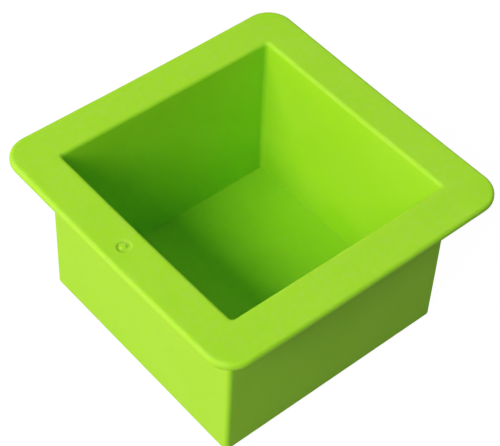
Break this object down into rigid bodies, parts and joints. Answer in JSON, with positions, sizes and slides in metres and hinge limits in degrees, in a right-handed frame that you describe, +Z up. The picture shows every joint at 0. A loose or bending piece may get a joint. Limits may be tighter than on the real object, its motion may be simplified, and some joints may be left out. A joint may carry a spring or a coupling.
{
  "type": "silicone soap mould",
  "caption": "Square single-cavity silicone mould with straight walls, a flat floor and a wide flat rim, for casting soap, wax or resin.",
  "frame": {"origin": "centre of the flat base, where the mould stands on a worktop", "axes": "+Z up out of the cavity's mouth; -Y is the front, the side of the rim that carries the gate mark; +X is to the right seen from the front"},
  "size_m": [0.107, 0.107, 0.058],
  "materials": {
    "silicone": "satin lime-green silicone, lightly matt, with a soft translucent depth"
  },
  "bodies": {
    "root": {"rim": "silicone", "front_wall": "silicone", "right_wall": "silicone", "back_wall": "silicone", "left_wall": "silicone", "floor_panel": "silicone"}
  },
  "joints": []
}
